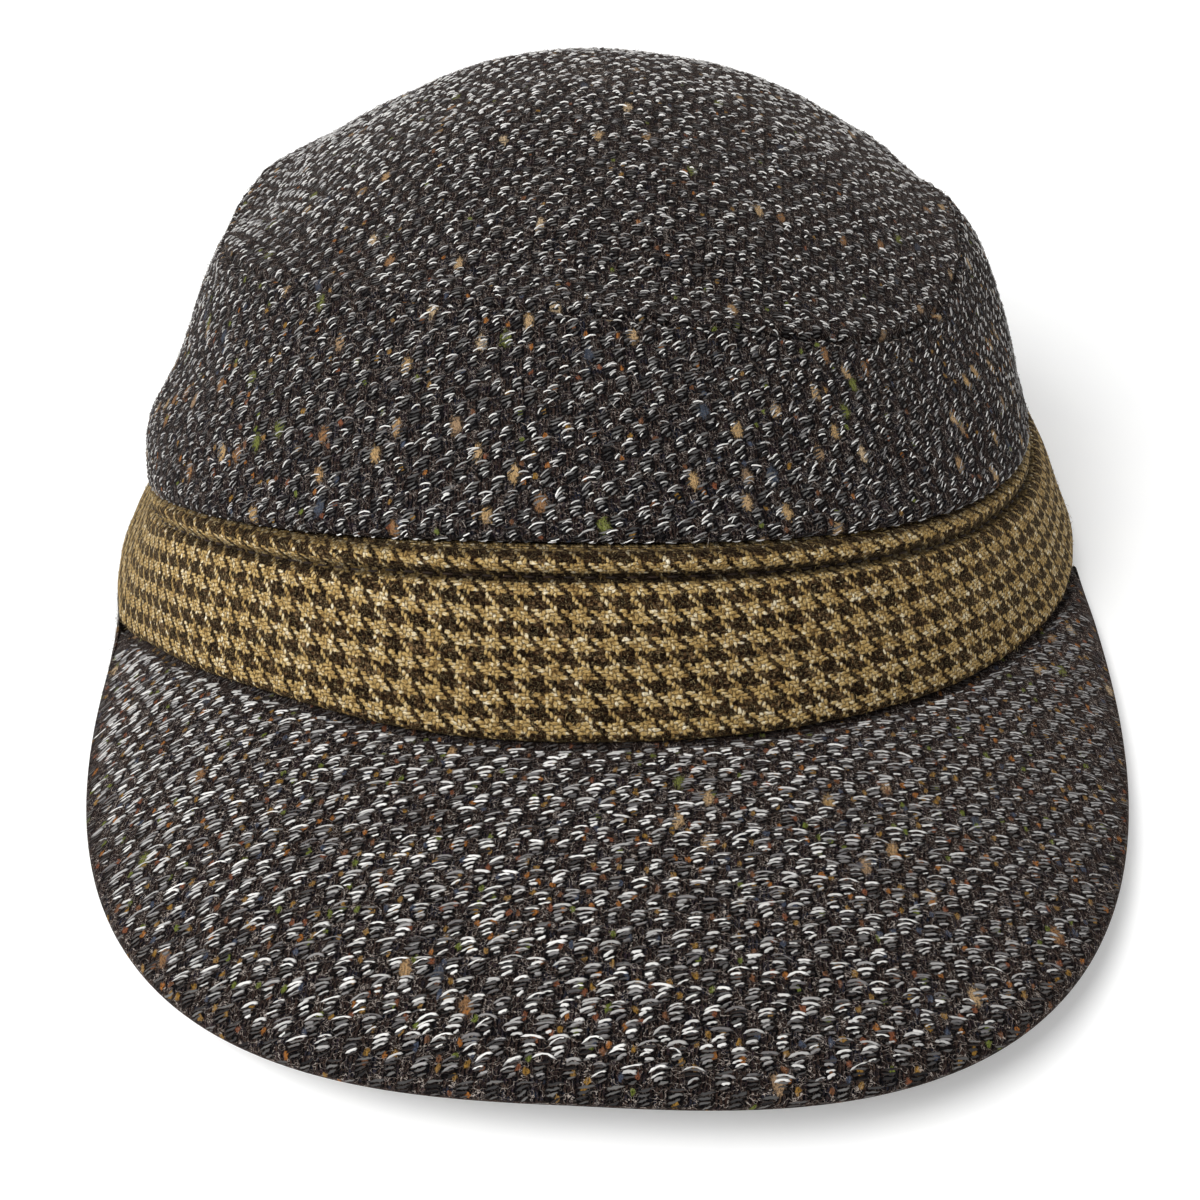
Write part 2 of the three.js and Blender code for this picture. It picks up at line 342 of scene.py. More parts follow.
def ring_shell(node, sections, sides, materials, closed=True, **maps):
    """A shell round the cap. sections and the maps hold a full turn with both ends. Where closed,
    each section runs up the outside and down the inside. sides gives each row its material."""
    columns, rows = sections.shape[0] - 1, sections.shape[1]
    quads, corners = grid_quads(columns, rows, True, closed)
    for name, places in maps.items():
        if closed:
            places = join([places, places[:, -1:]], 1)
        maps[name] = places.reshape(-1, 2)[corners]
    points = sections[:-1].reshape(-1, 3)
    return new_piece(node, "cloth", points, [quads], materials, maps, np.tile(sides, columns))


# ---------- the materials

def tone(code):
    """A linear colour from its usual six-digit code."""
    parts = [int(code[i : i + 2], 16) / 255 for i in (0, 2, 4)]
    linear = [c / 12.92 if c <= 0.04045 else ((c + 0.055) / 1.055) ** 2.4 for c in parts]
    return (*linear, 1.0)


def math_node(operation, swapped=False):
    """A method of Value that works out an operation on it and on others."""
    def method(self, *others):
        values = (*others, self) if swapped else (self, *others)
        return self.nodes.math(operation, *values)
    return method


class Value:
    """A number, colour or place that nodes work out. Arithmetic on it adds math nodes."""

    def __init__(self, nodes, socket):
        self.nodes, self.socket = nodes, socket

    __add__ = __radd__ = math_node("ADD")
    __sub__ = math_node("SUBTRACT")
    __rsub__ = math_node("SUBTRACT", swapped=True)
    __mul__ = math_node("MULTIPLY")
    __gt__ = math_node("GREATER_THAN")
    __abs__ = math_node("ABSOLUTE")


class Nodes:
    """Short words for building the node tree of a material or a world. Wherever one takes a
    colour, a six-digit code will do."""

    def __init__(self, owner):
        owner.use_nodes = True
        self.owner, self.tree = owner, owner.node_tree
        self.tree.nodes.clear()

    def put(self, socket, value):
        if isinstance(value, Value):
            self.tree.links.new(value.socket, socket)
        else:
            socket.default_value = tone(value) if isinstance(value, str) else value

    def add(self, kind, inputs=(), output=0, **settings):
        """A node's output, or a list of several."""
        node = self.tree.nodes.new("ShaderNode" + kind)
        for key, value in settings.items():
            setattr(node, key, value)
        for key, value in dict(inputs).items():
            self.put(node.inputs[key], value)
        if isinstance(output, tuple):
            return [Value(self, node.outputs[key]) for key in output]
        return Value(self, node.outputs[output]) if node.outputs else None

    def math(self, operation, *values):
        return self.add("Math", enumerate(values), operation=operation)

    def most(self, a, b):
        return self.math("MAXIMUM", a, b)

    def floor(self, a):
        return self.math("FLOOR", a)

    def point(self, x, y):
        return self.add("CombineXYZ", {0: x, 1: y})

    def parts(self, vector):
        return self.add("SeparateXYZ", {0: vector}, (0, 1))

    def noise(self, vector, scale, detail=2.0, roughness=0.5, output=0):
        inputs = {"Vector": vector, "Scale": scale, "Detail": detail, "Roughness": roughness}
        return self.add("TexNoise", inputs, output)

    def band(self, value, low, high, to_low=0.0, to_high=1.0):
        """A value that goes smoothly from to_low at low to to_high at high."""
        inputs = {0: value, 1: low, 2: high, 3: to_low, 4: to_high}
        return self.add("MapRange", inputs, interpolation_type="SMOOTHSTEP")

    def mix(self, share, a, b, blend="MIX"):
        return self.add("Mix", {0: share, 6: a, 7: b}, 2, data_type="RGBA", blend_type=blend)

    def ramp(self, value, stops, steps=False):
        """The colour at a value, from (place, code) stops, blended or in steps."""
        node = self.tree.nodes.new("ShaderNodeValToRGB")
        ramp = node.color_ramp
        ramp.interpolation = "CONSTANT" if steps else "LINEAR"
        while len(ramp.elements) < len(stops):
            ramp.elements.new(0.5)
        for element, (place, code) in zip(ramp.elements, stops):
            element.position = place
            element.color = tone(code)
        self.put(node.inputs[0], value)
        return Value(self, node.outputs[0])

    def finish(
        self, colour, roughness, height=None, depth=0.0, shine=0.03, sheen=0.0, tint="ffffff", **more
    ):
        """The finished material. depth is how deep its bumps are, in millimetres."""
        inputs = {
            "Base Color": colour, "Roughness": roughness, "Specular IOR Level": shine,
            "Sheen Weight": sheen, "Sheen Roughness": 0.3, "Sheen Tint": tint, **more,
        }
        if height is not None:
            inputs["Normal"] = self.add("Bump", {"Height": height, "Distance": depth * MM})
        self.add("OutputMaterial", {0: self.add("BsdfPrincipled", inputs)})
        return self.owner


def new_material(name):
    return Nodes(bpy.data.materials.new(name))


def moved_by_noise(n, cloth, scale, size):
    """The cloth's coordinates, shifted about by up to half of size, so that no thread is straight."""
    noise = n.noise(cloth, scale, 1.0, output=1)
    wobble = n.add("VectorMath", {0: noise, 1: (0.5, 0.5, 0.5)}, operation="SUBTRACT")
    wobble = n.add("VectorMath", {0: wobble, "Scale": size}, operation="SCALE")
    return n.parts(n.add("VectorMath", {0: cloth, 1: wobble}, operation="ADD"))


def curls(n, ground, u, v, kinds, strength):
    """Fine curly fibres over a colour, one kind for each (scale, stretch, thickness, colour)."""
    for scale, stretch, thickness, fibre in kinds:
        near = abs(n.noise(n.point(u * (scale * stretch), v * scale), 1.0, 2.0, 0.6) - 0.5)
        ground = n.mix(n.band(near, thickness, thickness * 0.3, 0.0, strength), ground, fibre)
    return ground


def flecks(n, u, v, wide, high, kept, colours, ragged):
    """Ovals of coloured wool, one in each kept cell of wide x high millimetres, with ragged edges.
    Returns their colour and how much of it shows."""
    place = n.point(u * (1 / wide), v * (1 / high))
    distance, luck = n.add(
        "TexVoronoi", {"Vector": place, "Scale": 1.0}, ("Distance", "Color"), voronoi_dimensions="2D",
    )
    luck, _ = n.parts(luck)
    stops = [(kept * i / len(colours), code) for i, code in enumerate(colours)]
    colour = n.ramp(luck, stops, steps=True)
    distance = distance + (ragged - 0.5) * (FLECK_RADIUS * 2.2)
    return colour, n.band(distance, FLECK_RADIUS, FLECK_RADIUS * 0.6) * n.math("LESS_THAN", luck, kept)


# A fleck's radius as a share of its cell, and the sizes of the cells of flecks and small bits.
FLECK_RADIUS, FLECK_CELL, BIT_CELL = 0.24, (4.0, 7.0), (1.7, 2.3)
FLECK_COLOURS = ("b89a72", "a98860", "6b7038", "8f6a48", "bda583", "434a56", "9a7f62", "b39468")
BIT_COLOURS = ("8a682f", "6f4a32", "667030", "8c6c3c", "424a5a", "96602f", "7a4a33")
# A drawn float's half height, and how sharply it narrows to its ends.
LENS_HIGH, LENS_POWER = 0.19, 2.5


def tweed(name, fleck_share, bit_share, haze, float_light=0.2):
    """Tweed in millimetres of cloth: blocks of white floats in half drop on dark warp threads,
    with coloured flecks. float_light is how bright the drawn floats are, the shares say how many
    of the places for flecks and for small bits hold one, and haze is how much fuzz lightens it."""
    n = new_material(name)
    cloth = n.add("UVMap", uv_map="cloth")
    u, v = moved_by_noise(n, cloth, 0.45, 0.9)
    u, v = moved_by_noise(n, n.point(u, v), 3.0, 0.3)

    # Which block a place is in, and where in that block it lies.
    block_row = n.floor(v * (2 / TWEED_HIGH))
    is_odd = n.math("MODULO", abs(block_row), 2.0)
    across = u * (1 / TWEED_WIDE) + is_odd * 0.5
    block_column = n.floor(across)
    x = (n.math("FRACT", across) - 0.5) * TWEED_WIDE
    in_block = v - block_row * (TWEED_HIGH / 2) - BLOCK_FOOT

    # The floats: a lens of its own length on each pick, in a shade of its own.
    is_float, luck = 0.0, 0.0
    for pick, (length, middle, slope) in enumerate(BLOCK):
        away = x - middle
        up = (in_block - pick * FLOAT_APART - away * math.tan(math.radians(slope))) * (1 / LENS_HIGH)
        far = n.math("POWER", abs(away) * (2 / length), LENS_POWER)
        lens = n.band(far + up * up, 1.0, 0.4)
        is_float = n.most(is_float, lens)
        own_place = n.point(block_column, block_row * 4.0 + float(pick))
        luck = luck + (lens > 0.05) * n.add("TexWhiteNoise", {"Vector": own_place})
    silver = n.ramp(luck, [(0.0, "4a4849"), (0.3, "858383"), (0.65, "b8b6b4"), (1.0, "e6e3df")])
    silver = n.mix(1.0, silver, (float_light, float_light, float_light, 1), "MULTIPLY")
    # Under and round each block: where its painted shadow falls, and where the warp threads lie flat.
    under_floats = n.band(abs(x), 1.2, 0.7) * n.band(abs(in_block - FLOAT_APART), 1.25, 0.85)

    # The warp: upright threads in dark browns and blue-blacks, with curly fibres over them.
    ends = u * (WARP_ENDS / TWEED_WIDE)
    end = n.floor(ends)
    side = abs(ends - end - 0.5)
    stretch = n.noise(n.point(end * 3.7, v * 0.35), 1.0)
    warp = n.ramp(stretch * 0.7 + n.noise(cloth, 0.07) * 0.3, [
        (0.3, "07070a"), (0.4, "171214"), (0.46, "2a1e1b"), (0.52, "0f1219"), (0.58, "332621"),
        (0.64, "1a1f28"), (0.72, "40332c"),
    ])
    patches = n.ramp(n.noise(cloth, 0.42, 2.0, 0.6), [
        (0.36, "1a2536"), (0.44, "121214"), (0.52, "30211a"), (0.58, "191a1e"), (0.66, "2b202c"),
    ])
    warp = n.mix(0.45, warp, patches)
    grain = n.noise(n.point(u * 8.0, v * 3.0), 1.0, 3.0, 0.65)
    warp = n.mix(n.band(grain, 0.47, 0.35, 0.0, 0.97), warp, "040405")
    warp = n.mix(n.band(grain, 0.56, 0.7, 0.0, 0.65), warp, "62554c")
    # The gaps between the warp threads are painted near black: painted shade between the threads.
    warp = n.mix(n.band(side, 0.2, 0.4), warp, "030304")
    fuzz = ((1.2, 1.4, 0.012, "63554b"), (0.9, 0.8, 0.013, "a59b93"))
    warp = curls(n, warp, u, v, fuzz, 0.5 + 2 * haze)
    # Round each block of floats the ground is painted near black: painted shadow under the floats.
    ground = n.mix(under_floats * 0.85, warp, "040405")

    # Flecks of coloured wool, longer up the warp than across it, and small bits of brighter wool.
    ragged = n.noise(n.point(u * 2.6, v * 1.6), 1.0, 3.0, 0.7)
    strands_show = n.band(grain, 0.36, 0.56, 0.12, 0.95)
    colour, raised = flecks(n, u, v, *FLECK_CELL, fleck_share, FLECK_COLOURS, ragged)
    ground = n.mix(raised * strands_show, ground, colour)
    colour, shown = flecks(n, u, v, *BIT_CELL, bit_share, BIT_COLOURS, ragged)
    ground = n.mix(shown * strands_show, ground, colour)

    colour = n.mix(is_float, ground, silver)
    thread = (0.5 - side) * (1.0 - n.most(is_float, under_floats))
    height = n.most(is_float, raised) + thread * 1.2 + grain * 0.6
    return n.finish(colour, 0.9, height, 0.22, sheen=haze, tint="c0a090")


def houndstooth(name):
    """Houndstooth in millimetres of cloth: a two-up two-down twill of dark and light threads."""
    n = new_material(name)
    cloth = n.add("UVMap", uv_map="cloth")
    u, v = moved_by_noise(n, cloth, 0.5, 0.7)
    u, v = moved_by_noise(n, n.point(u, v), 3.5, 0.42)
    ends = u * (-THREADS / HOUNDSTOOTH_WIDE)
    picks = v * (THREADS / HOUNDSTOOTH_HIGH)
    end, pick = n.floor(ends), n.floor(picks)

    def arch(value):
        """The height along a float that starts at 0 and ends at 2, in turns of 4."""
        turn = n.math("FLOORED_MODULO", value, 4.0) * (math.pi / 2)
        return n.most(n.math("SINE", turn), -0.3)

    def roundness(value, whole):
        middle = value - whole - 0.5
        return 1.0 - middle * middle * 3.4

    def is_light(thread):
        return n.math("FLOORED_MODULO", thread, float(THREADS)) > 3.5

    warp_height = arch(end + 1.0 - picks) + roundness(ends, end)
    weft_height = arch(ends - (pick + 2.0)) + roundness(picks, pick) + WEFT_PROUD
    warp_on_top = warp_height > weft_height

    # The yarns: light or dark, mottled slowly, thread by thread and fibre by fibre, under fuzz.
    along = n.mix(warp_on_top, n.point(u * 1.6, v * 7.0), n.point(u * 7.0, v * 1.6))
    own = n.mix(warp_on_top, n.point(u * 0.9, pick * 7.3), n.point(end * 7.3, v * 0.9))
    fibres = n.noise(own, 1.0, 1.0, 0.6) * 0.5 + n.noise(along, 1.0, 3.0, 0.7) * 0.5
    mottle = n.noise(cloth, 0.35, 3.0, 0.7) * 0.25 + fibres * 0.75
    beige = n.ramp(mottle, [
        (0.37, "4a381f"), (0.43, "80643a"), (0.48, "a98d58"), (0.52, "b89b62"), (0.57, "d4c7a8"),
        (0.64, "e9dfc8"),
    ])
    brown = n.ramp(mottle, [(0.4, "070403"), (0.48, "1a1009"), (0.54, "352416"), (0.61, "7a6040")])
    fuzz = n.noise(cloth, 2.4, 3.0, 0.75)
    light = n.mix(warp_on_top, is_light(pick), is_light(end)) + (fuzz - 0.45) * 1.6
    light = n.band(light, 0.1, 0.9)
    height = n.most(warp_height, weft_height)
    # Where the threads are low, between them, they are painted near black in dark yarn and brown in
    # light yarn: painted shade between the threads.
    between = n.mix(light, "070403", "3e2e1a")
    colour = n.mix((1.0 - n.band(height, 0.95, 1.7)) * 0.85, n.mix(light, brown, beige), between)
    hairs = ((1.0, 1.2, 0.009, "b8a67c"), (0.8, 0.8, 0.01, "1f130a"))
    colour = curls(n, colour, u, v, hairs, 0.45)

    # Painted shade in the groove of the topstitching, darker where the groove is deep, and painted
    # shade on the turn of the top edge.
    from_top, deep = n.parts(n.add("UVMap", uv_map="edge"))
    groove = abs(from_top - STITCH_DOWN) + (fuzz - 0.5) * 1.4
    groove_shade = n.band(groove, GROOVE_REACH * 1.5, GROOVE_REACH * 0.5) * (deep * 0.85)
    colour = n.mix(groove_shade, colour, "080504")
    colour = n.mix(n.band(from_top, 1.7, 0.5, 0.0, 0.6), colour, "140c08")
    return n.finish(colour, 0.9, height + fibres * 1.1, 0.14, sheen=0.14, tint="d8bc90")


def yarn(name, shades, ends_shade=0.35):
    """Loose yarn and fibres. The map's first number picks a strand's shade and its second runs
    along the strand, which gets painted shade towards its ends, where it dives into the cloth."""
    n = new_material(name)
    shade, along = n.parts(n.add("UVMap", uv_map="OFBake"))
    colour = n.ramp(shade, [(i / (len(shades) - 1), code) for i, code in enumerate(shades)])
    # Painted shade towards each end, where the strand dives into the cloth.
    colour = n.mix(n.band(abs(along * 2.0 - 1.0), 0.55, 1.0, 0.0, ends_shade), colour, "0d0c0c")
    return n.finish(colour, 0.65, shine=0.25, sheen=0.05)


tweed_wall = tweed("tweed_wall", fleck_share=0.33, bit_share=0.16, haze=0.03)
tweed_top = tweed("tweed_top", fleck_share=0.14, bit_share=0.08, haze=0.08)
tweed_brim = tweed("tweed_brim", fleck_share=0.08, bit_share=0.5, haze=0.16)
tweed_inside = tweed("tweed_inside", fleck_share=0.1, bit_share=0.1, haze=0.1, float_light=1.0)
houndstooth_cloth = houndstooth("houndstooth_cloth")
white_yarn = yarn("white_yarn", ("343233", "6a6767", "a6a4a2", "d8d6d3", "f2f0ed"))
stitch_thread = yarn("stitch_thread", ("120c08", "2a1c13", "4a3522"), 0.3)
tweed_fibres = yarn("tweed_fibres", ("2a2522", "55473e", "7d6e63", "a59a90", "cbc4bc"), 0.0)
houndstooth_fibres = yarn(
    "houndstooth_fibres", ("3a281a", "6b5232", "a08a5c", "c2ad7c", "d8c8a0"), 0.0,
)


# ---------- the crown top

# The seam draws in most at the front and on the +X side, and little on the other side.
SEAM_DRAW = 0.7 + 0.7 * hump(full_turn, 25, 38)[:, None]
SEAM_ROLL_REACH, PUCKER_REACH, SEAM_TURN_REACH = 0.7, 4.5, 5
pucker_wave = round_ripple(52, 96)
pucker_size = 0.16 + 0.2 * hump(full_turn, 0, 12) + 0.22 * hump(full_turn, 28, 14)

# Close to its highest point the dome has no folds, and takes its direction from this rise.
DOME_ROWS, INNER_EVERY = 84, 9
FLAT_TOP, LAST_SLOPE = 0.06, 0.985


def seam_relief(distance):
    """How the cloth turns in over the last millimetre before a seam, and the puckers that the
    seam draws into both panels, fading away from it."""
    puckers = (pucker_wave * pucker_size)[:, None] * np.exp(-distance / PUCKER_REACH)
    return puckers - SEAM_DRAW * bell(distance, 0, SEAM_ROLL_REACH)


def dome_normal(angle, rise):
    return normal_of(smooth_dome, angle, np.minimum(rise, LAST_SLOPE))


def towards_seam(normal, distance):
    """A panel's normals, turned near the seam to the way that both panels face there."""
    one = np.ones_like(full_turn)
    at_seam = unit(normal_of(smooth_wall, full_turn, one) + dome_normal(full_turn, 0 * one))
    share = bell(distance, 0, SEAM_TURN_REACH)[..., None]
    return unit(normal * (1 - share) + at_seam[:, None] * share)


def laid_flat(points):
    """Places on the cloth, which is laid flat round the highest point, the first of each section."""
    return unit(points[..., :2] - points[:, :1, :2]) * arc_lengths(points, 1)[..., None]


def close_poles(piece):
    """Joins the repeated points at the top of a dome."""
    mesh = bmesh.new()
    mesh.from_mesh(piece.data)
    bmesh.ops.remove_doubles(mesh, verts=mesh.verts, dist=1e-6)
    mesh.to_mesh(piece.data)
    mesh.free()


def crown_top():
    rises = spaced(DOME_ROWS, ease_start=0.28)
    angle, rise = over_turn(rises)
    smooth = smooth_dome(angle, rise)
    distance = arc_lengths(smooth, 1)
    lift = relief(angle, 1 + rise) + seam_relief(distance)
    lift = lift * np.clip((1 - rise) / FLAT_TOP, 0, 1) + rippled(smooth, CROWN_WAVES)
    outside = smooth + towards_seam(dome_normal(angle, rise), distance) * lift[..., None]
    outside[:, -1] = outside[:, -1].mean(0)

    angle, rise = over_turn(rises[::INNER_EVERY][::-1])
    depth = CROWN_CLOTH - relief(angle, 1 + rise)
    inside = smooth_dome(angle, rise) - dome_normal(angle, rise) * depth[..., None]
    inside[:, 0] = inside[:, 0].mean(0)

    cloth = laid_flat(outside[:, ::-1])[:, ::-1]
    sections = join([inside, outside], 1)
    places = join([laid_flat(inside), cloth], 1)
    sides = np.arange(sections.shape[1] - 1) < inside.shape[1]
    cloths = [tweed_top, tweed_inside]
    close_poles(ring_shell("crown_top", sections, sides, cloths, closed=False, cloth=places))
    return outside, cloth


# ---------- the crown wall

# The cloth of the wall is cut at this turn, and its rows bow up by the square of the distance
# from the front, out to the bow's end.
WALL_TURN, WALL_BOW, BOW_END = math.radians(10), 0.00063, 110
# The wall swells out over the band's top edge, most at this height above it, and sags on its -X
# side, by a row for shaped() with the height above the edge. Its waves are whole from this share
# of its height on. Its inside takes every seventh row, from the top down.
OVER_BAND, OVER_BAND_HEIGHT, WAVES_FROM = 1.75, 1, 0.12
WALL_SAGS = ((2.5, -70, 32, 11, 9),)
WALL_ROWS, TUCKED_ROWS, INNER = 60, 4, slice(None, None, -7)


def crown_wall():
    angle, rise = over_turn(spaced(WALL_ROWS, ease_start=0.25, ease_end=0.28))
    smooth = smooth_wall(angle, rise)
    normal = normal_of(smooth_wall, angle, rise)
    slant = arc_lengths(smooth, 1)
    distance = slant[:, -1:] - slant
    over_band = slant / OVER_BAND_HEIGHT
    lift = relief(angle, rise) + seam_relief(distance)
    lift += rippled(smooth, CROWN_WAVES) * np.clip(rise / WAVES_FROM, 0, 1)
    lift += OVER_BAND * over_band * np.exp(1 - over_band)
    lift += shaped(angle, slant, WALL_SAGS) * (1 - np.exp(-slant))
    outside = smooth + towards_seam(normal, distance) * lift[..., None]

    depth = BAND_CLOTH + GAP
    tuck = over_turn(np.linspace(1 - TUCK, 1, TUCKED_ROWS + 1)[:-1])
    tucked = inside_band(*tuck, depth)
    tucked_inside = inside_band(*tuck, depth + CROWN_CLOTH)[:, ::-1]
    inside = (smooth - normal * (CROWN_CLOTH - relief(angle, rise))[..., None])[:, INNER]
    sections = join([tucked, outside, inside, tucked_inside], 1)

    along = from_front(outside[:, WALL_ROWS // 2])
    up = arc_lengths(join([tucked, outside], 1), 1)
    up -= up[:, TUCKED_ROWS : TUCKED_ROWS + 1].copy()
    up = join([up, up[:, TUCKED_ROWS:][:, INNER], up[:, :TUCKED_ROWS][:, ::-1]], 1)
    up += WALL_BOW * np.minimum(np.abs(along), BOW_END) ** 2
    cos, sin = math.cos(WALL_TURN), math.sin(WALL_TURN)
    cloth = np.stack([along * cos + up * sin, up * cos - along * sin], -1)
    shown = slice(TUCKED_ROWS, TUCKED_ROWS + WALL_ROWS)
    sides = np.arange(sections.shape[1]) >= shown.stop - 1
    ring_shell("crown_wall", sections, sides, [tweed_wall, tweed_inside], cloth=cloth)
    return outside, cloth[:, shown]


# ---------- the band

# How far the band stands out in places, or in below 0, as rows for shaped(): two by the distance
# down from its top edge, and one by the distance up from its hem.
TOP_SHAPING = ((-1.5, 76, 28, 0, 5.5), (-1, -68, 26, 5, 6))
HEM_SWELLS = ((0.6, -92, 28, 3, 6),)
# The groove is shallow on the -X side. Above it the edge is a soft roll, and below it the band
# has a belly, which is fuller in front.
SHALLOW, SHALLOW_AT, SHALLOW_SPREAD = 0.65, -85, 48
ROLL_OUT, ROLL_DOWN, ROLL_REACH = 0.35, 1.9, 0.8
BELLY, FRONT_BELLY, FRONT_SPREAD = 0.15, 0.35, 60
BAND_ROWS = 58
# How far down from the top edge the rows of the inside lie, before the two at the hem. The map of
# the edge gives the inside a distance that is past all of the painted shade at the edge.
INNER_ROWS = (0.15, 0.6, 1.5, 4, 9, 15)
PAST_EDGE = 20

# The stitches, with how far they rise in the middle and dive at their ends, and their pull.
STITCH_APART, STITCH_LONG, STITCH_THICK, STITCH_STEPS = 2.9, 2.2, 0.17, 6
STITCH_UP, STITCH_DIVE, PULL_REACH = 0.14, 0.34, 2.2
luck_of_stitches = np.random.default_rng(5)
stitch_pull = 0.1 * round_ripple(40, 150)[:, None]


def fall_back(down, depth, height):
    """How far a rounded edge stands back, at a distance down from it."""
    share = np.clip(1 - down / height, 0, 1)
    return depth * (1 - np.sqrt(1 - share**2))


def band():
    height = lengths(ring_point(BAND_TOP, full_turn) - hem_point(full_turn))
    from_hem = height * spaced(BAND_ROWS, ease_start=0.2, ease_end=0.29)
    from_top = height - from_hem
    rise = from_hem / height
    angle = full_turn[:, None] + 0 * rise
    smooth = band_point(angle, rise)
    normal = normal_of(band_point, angle, rise)
    strength = 1 - SHALLOW * hump(full_turn, SHALLOW_AT, SHALLOW_SPREAD)[:, None]
    belly = np.sin(math.pi * np.clip(from_hem / (height - STITCH_DOWN), 0, 1)) ** 0.5
    lift = -GROOVE_DEPTH * strength * bell(from_top, STITCH_DOWN, GROOVE_REACH)
    lift += ROLL_OUT * bell(from_top, ROLL_DOWN, ROLL_REACH)
    lift += (BELLY + FRONT_BELLY * hump(angle, 0, FRONT_SPREAD)) * belly
    lift += shaped(angle, from_top, TOP_SHAPING) + shaped(angle, from_hem, HEM_SWELLS)
    lift -= fall_back(from_top, EDGE_IN, EDGE_DOWN) + fall_back(from_hem, HEM_ROUND, HEM_ROUND)
    lift += stitch_pull * bell(from_top, STITCH_DOWN, PULL_REACH) + rippled(smooth, BAND_WAVES)
    outside = smooth + normal * lift[..., None]

    inner_down = join([INNER_ROWS + 0 * height, height - 1, height], 1)
    inside = inside_band(full_turn[:, None] + 0 * inner_down, 1 - inner_down / height, BAND_CLOTH)
    sections = join([outside, inside], 1)
    sections[..., 2] = np.maximum(0, sections[..., 2])

    along = from_front(band_point(full_turn, np.full_like(full_turn, 0.5)))
    up = arc_lengths(sections, 1)
    cloth = np.stack([along + 0 * up, up], -1)
    from_edge = join([from_top, PAST_EDGE + 0 * inner_down], 1)
    edge = np.stack([from_edge, strength + 0 * from_edge], -1)
    sides = np.zeros(sections.shape[1])
    ring_shell("band", sections, sides, [houndstooth_cloth], cloth=cloth, edge=edge)
    stitches(outside, from_top, normal)
    return outside, cloth[:, :BAND_ROWS]


def stitches(outside, from_top, normal):
    """A row of sunken stitches round the band, in dark thread."""
    level = np.abs(from_top - STITCH_DOWN).argmin(1)
    columns = np.arange(len(level))
    line = outside[columns, level]
    along = arc_lengths(line, 0)
    count = int(along[-1] / STITCH_APART)
    share = np.linspace(-1, 1, STITCH_STEPS)
    middles = (np.arange(count) + 0.5) * along[-1] / count
    at = middles[:, None] + share * STITCH_LONG / 2

    def read(values):
        return np.stack([np.interp(at, along, values[:, axis]) for axis in range(3)], -1)

    ups = unit(read(normal[columns, level]))
    paths = read(line) + ups * (STITCH_UP - STITCH_DIVE * share**2)[:, None]
    fat = np.full((count, STITCH_STEPS - 2), STITCH_THICK)
    shades = luck_of_stitches.uniform(0.1, 0.5, count)
    strands("band", "stitches", paths, ups, fat, shades, stitch_thread)


# ---------- the brim

# The share of the outline from which its end is tucked in under the band, on the -X side and
# the other, and how much of the way in it goes.
FIRST_TUCKED, TUCKED_IN = (0.86, 0.94), 0.7
BRIM_COLUMNS, BRIM_ROWS, RIM_ROWS = 321, 60, 13
# How far the brim dips where it goes in under the band, and how far out that reaches.
ROOT_DIP, ROOT_REACH = 0.9, 1.3
UP = np.array([0, 0, 1])


def brim():
    shares = np.linspace(-1, 1, BRIM_COLUMNS)
    row = np.tile(spaced(BRIM_ROWS, ease_end=0.3), (BRIM_COLUMNS, 1))
    angle = np.radians(shares * BRIM.hem_end)
    thickness = (BRIM_THICKNESS * (1 - BRIM.end_thinning * shares**8))[:, None]
    half = thickness / 2
    root = hem_point(angle) - GAP * UP
    inner = (inside_band(angle, 0 * angle, BAND_CLOTH) - GAP * UP)[:, None]
    edge = brim_edge(shares)
    first_tucked = np.where(shares < 0, *FIRST_TUCKED)
    tucked_in = np.clip((np.abs(shares) - first_tucked) / (1 - first_tucked), 0, 1) ** 2
    edge += (root - edge) * TUCKED_IN * tucked_in[:, None]
    inward = unit((root - edge) * (1, 1, 0))
    shoulder = edge + inward * half
    reach = lengths(shoulder - root)
    top = root[:, None] + (shoulder - root)[:, None] * row[..., None]
    crown = BRIM.crown * 4 * row * (1 - row) * reach / (HEM.front_y - BRIM.front_y)
    top[..., 2] += np.minimum(crown, BRIM.crown)
    top[..., 2] += rippled(top, BRIM_WAVES) * np.sin(math.pi * row) ** 0.5
    top[..., 2] -= ROOT_DIP * bell(row * reach, 0, ROOT_REACH)

    # The rim is a half round from the top to the underside.
    turns = np.linspace(math.pi / 2, -math.pi / 2, RIM_ROWS + 2)[1:-1]
    rim = shoulder[:, None] - inward[:, None] * (np.cos(turns) * half)[..., None]
    rim[..., 2] += (np.sin(turns) - 1) * half
    down = UP * thickness[..., None]
    sections = join([inner, top, rim, top[:, ::-3] - down, inner - down], 1)
    sections[..., 2] = np.maximum(0, sections[..., 2])

    # Round the edge the cloth runs on outwards, and comes back along the underside.
    cloth = sections[..., :2].copy()
    first_rim, first_below = 1 + BRIM_ROWS, 1 + BRIM_ROWS + RIM_ROWS
    run_on = ((math.pi / 2 - turns) * half)[..., None]
    cloth[:, first_rim:first_below] = (shoulder[:, None] - inward[:, None] * run_on)[..., :2]
    quads, corners = grid_quads(*sections.shape[:2], False, True)
    cloth_round = join([cloth, cloth[:, -1:]], 1).reshape(-1, 2)
    ring = np.arange(sections.shape[1])
    last = ring + (BRIM_COLUMNS - 1) * ring.size
    places = [cloth_round[corners].reshape(-1, 2), cloth[0, ::-1], cloth[-1]]
    sides = [np.tile(ring >= first_below, BRIM_COLUMNS - 1), [1, 1]]
    new_piece(
        "brim", "cloth", sections.reshape(-1, 3), [quads, ring[None, ::-1], last[None]],
        [tweed_brim, tweed_inside], {"cloth": join(places)}, join(sides),
    )
    return top, cloth[:, 1:first_rim]


# ---------- floats, fibres and stitches

